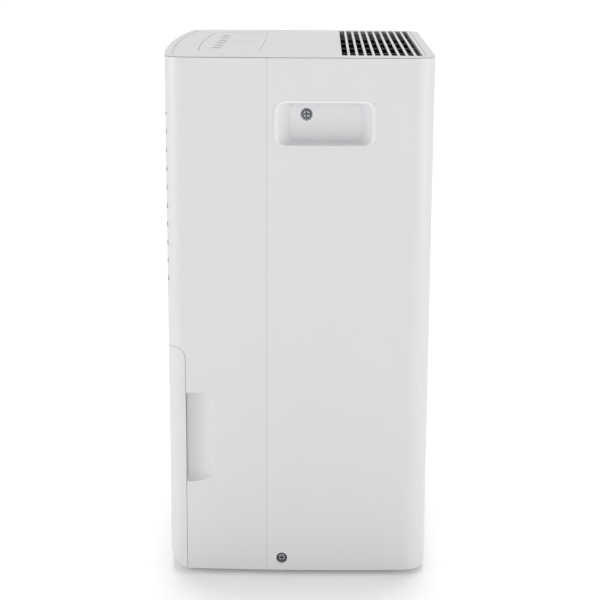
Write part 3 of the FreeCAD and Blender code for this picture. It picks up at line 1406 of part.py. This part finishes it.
def hexagon_nut(x, y, z):
    """A solid hexagon nut."""
    corners = []
    for index in range(7):
        angle = index * math.pi / 3
        corners.append(Vector(x + NUT_RADIUS * math.cos(angle), y + NUT_RADIUS * math.sin(angle), z))
    return Part.Face(Part.makePolygon(corners)).extrude(Vector(0, 0, NUT_HEIGHT))


def compressor_bolts():
    """Bolts through the mounts, each with its flanged nut."""
    shapes = []
    for x, y in compressor_feet_points():
        stud = rod(BOLT_RADIUS, (x, y, PAN_HIGH), Z_AXIS, BOLT_LENGTH)
        flange = rod(BOLT_FLANGE, (x, y, COMPRESSOR_LOW), Z_AXIS, BOLT_FLANGE_THICKNESS)
        nut = hexagon_nut(x, y, COMPRESSOR_LOW + BOLT_FLANGE_THICKNESS - 0.1)
        shapes.append(joined([stud, flange, nut]))
    return Part.makeCompound(shapes)


def accumulator():
    """Small hollow can beside the compressor."""
    x = ACCUMULATOR_X
    y = ACCUMULATOR_Y
    low = ACCUMULATOR_LOW
    high = ACCUMULATOR_HIGH
    wall = ACCUMULATOR_WALL
    can = rod(ACCUMULATOR_RADIUS, (x, y, low), Z_AXIS, high - low)
    can = can.makeFillet(ACCUMULATOR_DOME, edges_at_height(can, low) + edges_at_height(can, high))
    hollow = rod(ACCUMULATOR_RADIUS - wall, (x, y, low + wall), Z_AXIS, high - low - 2 * wall)
    ends = edges_at_height(hollow, low + wall) + edges_at_height(hollow, high - wall)
    hollow = hollow.makeFillet(ACCUMULATOR_DOME - wall, ends)
    ports = rod(ACCUMULATOR_PORT, (x, y, low - 10), Z_AXIS, high - low + 20)
    return can.cut([hollow, ports])


def lower_suction_pipe():
    """Pipe from the foot of the small can into the compressor's side."""
    z = SUCTION_LOW_Z
    points = [(ACCUMULATOR_X, ACCUMULATOR_Y, ACCUMULATOR_LOW), (ACCUMULATOR_X, ACCUMULATOR_Y, z),
              (COMPRESSOR_X + 40, COMPRESSOR_Y, z)]
    return tube_along(points, LOWER_BEND, *LOWER_PIPE).cut(compressor())


def suction_pipe():
    """Pipe from the evaporator down to the top of the small can."""
    x = PIPE_X
    y = PIPE_Y
    z = SUCTION_Z
    points = [(ACCUMULATOR_X, ACCUMULATOR_Y, ACCUMULATOR_HIGH), (ACCUMULATOR_X, ACCUMULATOR_Y, z),
              (ACCUMULATOR_X, y, z), (x, y, z), (x, y, COIL_FIRST_ROW),
              (x, EVAPORATOR_ROWS_Y[1], COIL_FIRST_ROW), (COIL_END_X, EVAPORATOR_ROWS_Y[1], COIL_FIRST_ROW)]
    return tube_along(points, SUCTION_BEND, *SUCTION_PIPE)


def discharge_pipe():
    """Pipe from the compressor's top up to the condenser."""
    x = -PIPE_X
    y = DISCHARGE_Y
    z = DISCHARGE_Z
    start_x = COMPRESSOR_X + OUTLET_OFFSET[0]
    start_y = COMPRESSOR_Y + OUTLET_OFFSET[1]
    points = [(start_x, start_y, COMPRESSOR_HIGH + 6), (start_x, start_y, z), (start_x, y, z), (x, y, z),
              (x, y, COIL_FIRST_ROW), (x, CONDENSER_ROWS_Y[1], COIL_FIRST_ROW),
              (-COIL_END_X, CONDENSER_ROWS_Y[1], COIL_FIRST_ROW)]
    return tube_along(points, PIPE_BEND, *DISCHARGE_PIPE)


def capillary_tube():
    """Thin tube over the coils, from the condenser to the evaporator."""
    x = CAPILLARY_X
    z = CAPILLARY_Z
    rear_y = CONDENSER_ROWS_Y[0]
    front_y = EVAPORATOR_ROWS_Y[0]
    points = [(-COIL_END_X, rear_y, COIL_FIRST_ROW), (-x, rear_y, COIL_FIRST_ROW), (-x, rear_y, z),
              (x, rear_y, z), (x, front_y, z), (x, front_y, COIL_FIRST_ROW),
              (COIL_END_X, front_y, COIL_FIRST_ROW)]
    return tube_along(points, PIPE_BEND, *CAPILLARY)


def capacitor():
    """Run capacitor standing on the base."""
    high = PAN_HIGH + CAPACITOR_HEIGHT
    can = rod(CAPACITOR_RADIUS, (CAPACITOR_X, CAPACITOR_Y, PAN_HIGH), Z_AXIS, CAPACITOR_HEIGHT)
    can = can.makeFillet(CAPACITOR_EDGE, edges_at_height(can, high))
    half = TERMINAL_BLOCK_HALF
    deep = TERMINAL_BLOCK_DEPTH
    terminals = box(CAPACITOR_X - half, CAPACITOR_X + half, CAPACITOR_Y - deep, CAPACITOR_Y + deep,
                    high - OVERRUN, high + TERMINAL_BLOCK_HEIGHT)
    return can.fuse(terminals).removeSplitter()


def humidity_sensor():
    """Small slotted case in the intake air beside the coils."""
    x_low, x_high, y_low, _, z_low, z_high = SENSOR_CASE
    case = box(*SENSOR_CASE)
    slots = []
    for index in range(SENSOR_SLOTS):
        y = y_low + SENSOR_MARGIN + index * SENSOR_PITCH
        slots.append(box(x_low - OVERRUN, x_high + OVERRUN, y, y + SENSOR_SLOT,
                         z_low + SENSOR_END, z_high - SENSOR_END))
    return case.cut(slots)


NODES = {
    "base_pan": base_pan,
    "feet": feet,
    "front_casing": front_casing,
    "rear_casing": rear_casing,
    "hand_recesses": hand_recesses,
    "side_screws": side_screws,
    "top_cover": top_cover,
    "outlet_guard": outlet_guard,
    "control_panel": control_panel,
    "display_window": display_window,
    "control_board": control_board,
    "bay_liner": bay_liner,
    "tank_container": tank_container,
    "tank_lid": tank_lid,
    "tank_front_panel": tank_front_panel,
    "level_window": level_window,
    "tank_handle": tank_handle,
    "float_block": float_block,
    "float_magnet": float_magnet,
    "reed_switch": reed_switch,
    "filter_frame": filter_frame,
    "filter_mesh": filter_mesh,
    "drip_tray": drip_tray,
    "drain_pipe": drain_pipe,
    "drain_plug": drain_plug,
    "cord_gland": cord_gland,
    "fan_housing": fan_housing,
    "fan_inlet_plate": fan_inlet_plate,
    "outlet_duct": outlet_duct,
    "fan_motor": fan_motor,
    "fan_wheel": fan_wheel,
    "compressor": compressor,
    "compressor_grommets": compressor_grommets,
    "compressor_bolts": compressor_bolts,
    "accumulator": accumulator,
    "lower_suction_pipe": lower_suction_pipe,
    "suction_pipe": suction_pipe,
    "discharge_pipe": discharge_pipe,
    "capillary_tube": capillary_tube,
    "capacitor": capacitor,
    "humidity_sensor": humidity_sensor,
}


def save(name, shape):
    """Write one node and print what it holds."""
    shape.exportStep("parts/" + name + ".step")
    print(f"{name}: valid {shape.isValid()}, solids {len(shape.Solids)}, volume {shape.Volume:.0f} mm3")


for name, make in NODES.items():
    save(name, make())
for index, key_name in enumerate(KEY_NAMES):
    save("button_" + key_name, panel_key(index))
save("evaporator_tubes", coil_tubes(EVAPORATOR_ROWS_Y, COIL_END_X))
save("condenser_tubes", coil_tubes(CONDENSER_ROWS_Y, -COIL_END_X))
save("evaporator_fins", coil_fins(EVAPORATOR_ROWS_Y))
save("condenser_fins", coil_fins(CONDENSER_ROWS_Y))
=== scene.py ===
import math

import bpy
from mathutils import Matrix, Vector

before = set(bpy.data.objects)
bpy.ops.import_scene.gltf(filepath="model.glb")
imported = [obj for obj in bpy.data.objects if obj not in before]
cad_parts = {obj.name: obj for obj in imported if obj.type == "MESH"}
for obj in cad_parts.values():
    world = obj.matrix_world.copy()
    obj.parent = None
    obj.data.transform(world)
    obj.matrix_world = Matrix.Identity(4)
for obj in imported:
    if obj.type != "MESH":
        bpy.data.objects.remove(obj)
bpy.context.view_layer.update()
scene = bpy.context.scene

# Camera, in metres and degrees: it looks along -X, turned down and a little to the left.
CAMERA_PLACE = (1.6253, 0.0256, 0.6188)
CAMERA_DOWN = 13.408
CAMERA_TURN = 0.823
CAMERA_ROLL = 0.253
CAMERA_LENS = 97.21
SENSOR_WIDTH = 36.0
NEAREST = 0.05
FARTHEST = 200.0

camera_data = bpy.data.cameras.new("camera")
camera_data.sensor_width = SENSOR_WIDTH
camera_data.lens = CAMERA_LENS
camera_data.clip_start = NEAREST
camera_data.clip_end = FARTHEST
camera = bpy.data.objects.new("camera", camera_data)
scene.collection.objects.link(camera)
turn = Matrix.Rotation(math.radians(90.0 + CAMERA_TURN), 3, "Z")
tip = Matrix.Rotation(math.radians(90.0 - CAMERA_DOWN), 3, "X")
roll = Matrix.Rotation(math.radians(CAMERA_ROLL), 3, "Z")
camera.rotation_euler = (turn @ tip @ roll).to_euler()
camera.location = CAMERA_PLACE
scene.camera = camera


# Lights

def softbox(name, place, aim, width, height, power):
    data = bpy.data.lights.new(name, "AREA")
    data.shape = "RECTANGLE"
    data.size = width
    data.size_y = height
    data.energy = power
    light = bpy.data.objects.new(name, data)
    scene.collection.objects.link(light)
    light.location = place
    light.rotation_euler = (Vector(aim) - Vector(place)).to_track_quat("-Z", "Y").to_euler()


LATERAL_POWER = 16.0
FRONTAL_POWER = 11.0
SUN_STRENGTH = 1.6
WORLD_STRENGTH = 0.60
SUN_SPREAD = 20.0
SUN_TILT = -12.5
LIGHT_AIM = (0.1, 0.0, 0.25)
LATERAL_SIZE = (1.2, 0.9)
FRONTAL_SIZE = (1.4, 1.4)

softbox("softbox_front", (0.75, -2.8, 0.45), LIGHT_AIM, *LATERAL_SIZE, LATERAL_POWER)
softbox("softbox_rear", (0.75, 2.8, 0.45), LIGHT_AIM, *LATERAL_SIZE, LATERAL_POWER)
softbox("softbox_side", (3.2, 0.0, 1.1), LIGHT_AIM, *FRONTAL_SIZE, FRONTAL_POWER)

sun_data = bpy.data.lights.new("overhead", "SUN")
sun_data.energy = SUN_STRENGTH
sun_data.angle = math.radians(SUN_SPREAD)
sun = bpy.data.objects.new("overhead", sun_data)
sun.rotation_euler = (0.0, math.radians(SUN_TILT), 0.0)
scene.collection.objects.link(sun)

world = bpy.data.worlds.new("studio")
world.use_nodes = True
world.node_tree.nodes["Background"].inputs["Color"].default_value = (1.0, 1.0, 1.0, 1.0)
world.node_tree.nodes["Background"].inputs["Strength"].default_value = WORLD_STRENGTH
scene.world = world
scene.view_settings.view_transform = "Standard"


# Materials: noise scales are in waves per metre, and bump depths in metres.

SMOOTHEST = 0.02
COAT_ROUGHNESS = 0.2
NOISE_LOW = 0.3
NOISE_HIGH = 0.7
FLOW_SCALE = 9.0
HANDLING_SCALE = 38.0
SINK_SCALE = 14.0
SINK_DEPTH = 0.00012
SPARK_GRAIN = 2600.0
SPARK_DEPTH = 0.00002
STAIN_SCALE = 60.0
CLEAR_INDEX = 1.49


class Surface:
    """A new Principled material with short ways to add its procedural detail."""

    def __init__(self, name, colour, roughness, metallic=0.0, specular=0.5, coat=0.0):
        self.material = bpy.data.materials.new(name)
        self.material.use_nodes = True
        self.tree = self.material.node_tree
        self.shader = self.tree.nodes["Principled BSDF"]
        self.colour = colour
        self.roughness = roughness
        self.shader.inputs["Base Color"].default_value = (*colour, 1.0)
        self.shader.inputs["Roughness"].default_value = roughness
        self.shader.inputs["Metallic"].default_value = metallic
        self.shader.inputs["Specular IOR Level"].default_value = specular
        self.shader.inputs["Coat Weight"].default_value = coat
        self.shader.inputs["Coat Roughness"].default_value = COAT_ROUGHNESS
        self.place = self.tree.nodes.new("ShaderNodeTexCoord").outputs["Object"]
        self.bump_normal = None

    def link(self, source, target):
        self.tree.links.new(source, target)

    def stretched(self, scale):
        mapping = self.tree.nodes.new("ShaderNodeMapping")
        mapping.inputs["Scale"].default_value = scale
        self.link(self.place, mapping.inputs["Vector"])
        return mapping.outputs["Vector"]

    def noise(self, scale, detail=2.0, stretch=(1.0, 1.0, 1.0)):
        node = self.tree.nodes.new("ShaderNodeTexNoise")
        node.inputs["Scale"].default_value = scale
        node.inputs["Detail"].default_value = detail
        self.link(self.stretched(stretch), node.inputs["Vector"])
        return node.outputs["Fac"]

    def ranged(self, value, low, high, start=NOISE_LOW, end=NOISE_HIGH):
        node = self.tree.nodes.new("ShaderNodeMapRange")
        node.inputs["From Min"].default_value = start
        node.inputs["From Max"].default_value = end
        node.inputs["To Min"].default_value = low
        node.inputs["To Max"].default_value = high
        self.link(value, node.inputs["Value"])
        return node.outputs["Result"]

    def mixed(self, share, first, second):
        node = self.tree.nodes.new("ShaderNodeMix")
        node.data_type = "RGBA"
        node.inputs["A"].default_value = (*first, 1.0)
        node.inputs["B"].default_value = (*second, 1.0)
        self.link(share, node.inputs["Factor"])
        return node.outputs["Result"]

    def tinted(self, share, spread):
        """The base colour wanders between a little darker and a little lighter."""
        dark = tuple(c * (1.0 - spread) for c in self.colour)
        light = tuple(min(1.0, c * (1.0 + spread)) for c in self.colour)
        self.link(self.mixed(share, dark, light), self.shader.inputs["Base Color"])

    def worn(self, value, spread):
        low = max(SMOOTHEST, self.roughness - spread)
        high = min(1.0, self.roughness + spread)
        self.link(self.ranged(value, low, high), self.shader.inputs["Roughness"])

    def bumped(self, height, distance):
        node = self.tree.nodes.new("ShaderNodeBump")
        node.inputs["Distance"].default_value = distance
        node.inputs["Strength"].default_value = 1.0
        self.link(height, node.inputs["Height"])
        if self.bump_normal is not None:
            self.link(self.bump_normal, node.inputs["Normal"])
        self.bump_normal = node.outputs["Normal"]
        self.link(self.bump_normal, self.shader.inputs["Normal"])


def moulded(name, colour, roughness, grain=SPARK_GRAIN, depth=SPARK_DEPTH, **more):
    """Injection-moulded plastic: fine spark-eroded grain, faint flow marks and handling."""
    surface = Surface(name, colour, roughness, **more)
    surface.tinted(surface.ranged(surface.noise(FLOW_SCALE, 3.0), 0.0, 1.0), 0.012)
    surface.worn(surface.noise(HANDLING_SCALE, 5.0), 0.06)
    surface.bumped(surface.noise(grain, 2.0), depth)
    surface.bumped(surface.noise(SINK_SCALE, 1.0), SINK_DEPTH)
    return surface


def metal(name, colour, roughness, stretch, grain=900.0, depth=0.00001):
    """Metal with drawing or rolling marks along one direction."""
    surface = Surface(name, colour, roughness, metallic=1.0)
    surface.tinted(surface.ranged(surface.noise(STAIN_SCALE, 4.0), 0.0, 1.0), 0.08)
    marks = surface.noise(grain, 3.0, stretch)
    surface.worn(marks, 0.1)
    surface.bumped(marks, depth)
    return surface


def screw(name, colour, dark, roughness, reach):
    """Plated steel whose corners and cross recess are darkened with painted shade from an occlusion mask,
    within a reach in metres.
    """
    surface = metal(name, colour, roughness, (1.0, 1.0, 1.0))
    # Painted shade: ambient occlusion within the reach mixes the base colour toward the dark colour,
    # broken up a little by noise.
    crevice_shade = surface.tree.nodes.new("ShaderNodeAmbientOcclusion")
    crevice_shade.inputs["Distance"].default_value = reach
    crevice_shade.samples = 16
    share = surface.ranged(crevice_shade.outputs["AO"], 0.0, 1.0, 0.45, 0.8)
    patchy = surface.ranged(surface.noise(420.0, 3.0), 0.85, 1.0)
    shade_amount = surface.tree.nodes.new("ShaderNodeMath")
    shade_amount.operation = "MULTIPLY"
    surface.link(share, shade_amount.inputs[0])
    surface.link(patchy, shade_amount.inputs[1])
    surface.link(surface.mixed(shade_amount.outputs["Value"], dark, colour), surface.shader.inputs["Base Color"])
    return surface


def clear(name, colour, roughness, transmission):
    """Clear or smoky moulded plastic."""
    surface = Surface(name, colour, roughness)
    surface.shader.inputs["Transmission Weight"].default_value = transmission
    surface.shader.inputs["IOR"].default_value = CLEAR_INDEX
    surface.tinted(surface.ranged(surface.noise(16.0, 2.0), 0.0, 1.0), 0.01)
    surface.worn(surface.noise(70.0, 4.0), 0.04)
    surface.bumped(surface.noise(30.0, 1.0), 0.00008)
    return surface


SURFACES = {
    # casing_white, top_white, panel_white and cup_white are one white plastic in lit and shaded copies.
    # top_white is a little darker as painted shade on the top face. panel_white is a little lighter as
    # painted light on the top. cup_white is lighter as painted light against the hand recess's shade, and
    # its faint blue tint is its own.
    "casing_white": moulded("casing_white", (0.661, 0.661, 0.667), 0.42),
    "cup_white": moulded("cup_white", (0.716, 0.719, 0.732), 0.42),
    "top_white": moulded("top_white", (0.652, 0.653, 0.657), 0.45),
    "panel_white": moulded("panel_white", (0.667, 0.668, 0.672), 0.36),
    "lid_white": moulded("lid_white", (0.80, 0.80, 0.80), 0.40),
    "liner_grey": moulded("liner_grey", (0.60, 0.61, 0.62), 0.55),
    "guard_grey": moulded("guard_grey", (0.075, 0.077, 0.082), 0.5),
    "key_grey": moulded("key_grey", (0.25, 0.26, 0.27), 0.4),
    "handle_grey": moulded("handle_grey", (0.42, 0.43, 0.45), 0.45),
    "wheel_black": moulded("wheel_black", (0.03, 0.03, 0.033), 0.5),
    "duct_black": moulded("duct_black", (0.008, 0.008, 0.009), 0.7, specular=0.1),
    "foam_white": moulded("foam_white", (0.85, 0.85, 0.84), 0.85, grain=700.0, depth=0.0004),
    "window_dark": moulded("window_dark", (0.66, 0.661, 0.665), 0.3, depth=0.000004),
    "window_clear": clear("window_clear", (0.80, 0.83, 0.85), 0.25, 0.6),
    "bucket_clear": clear("bucket_clear", (0.78, 0.80, 0.81), 0.5, 0.3),
    "board_green": moulded("board_green", (0.04, 0.22, 0.10), 0.35),
    "rubber_black": moulded("rubber_black", (0.035, 0.035, 0.036), 0.8, grain=900.0, depth=0.00006),
    # screw_steel's second colour is the painted shade that fills its corners and cross recess.
    "screw_steel": screw("screw_steel", (0.36, 0.38, 0.41), (0.006, 0.006, 0.008), 0.38, 0.0022),
    "motor_steel": metal("motor_steel", (0.6, 0.6, 0.6), 0.38, (1.0, 12.0, 1.0)),
    "compressor_black": moulded("compressor_black", (0.025, 0.025, 0.026), 0.3, coat=0.4),
    "copper": metal("copper", (0.78, 0.42, 0.27), 0.30, (1.0, 6.0, 6.0)),
    "fin_aluminium": metal("fin_aluminium", (0.80, 0.81, 0.82), 0.34, (1.0, 1.0, 14.0)),
    "magnet_dark": moulded("magnet_dark", (0.18, 0.18, 0.19), 0.5, grain=1500.0),
    "mesh_grey": moulded("mesh_grey", (0.28, 0.29, 0.31), 0.8, grain=1800.0, depth=0.00005),
}

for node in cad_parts.values():
    for index, old in enumerate(node.data.materials):
        node.data.materials[index] = SURFACES[old.name.split(".")[0]].material


# Floor

FLOOR_SIZE = 120.0
FLOOR_GLOW = 0.08

floor_surface = Surface("floor", (0.93, 0.93, 0.93), 0.7)
floor_surface.shader.inputs["Emission Color"].default_value = (1.0, 1.0, 1.0, 1.0)
floor_surface.shader.inputs["Emission Strength"].default_value = FLOOR_GLOW
floor_surface.tinted(floor_surface.ranged(floor_surface.noise(1.5, 2.0), 0.0, 1.0), 0.003)
bpy.ops.mesh.primitive_plane_add(size=FLOOR_SIZE, location=(0.0, 0.0, 0.0))
floor = bpy.context.active_object
floor.name = "floor"
floor.data.materials.append(floor_surface.material)
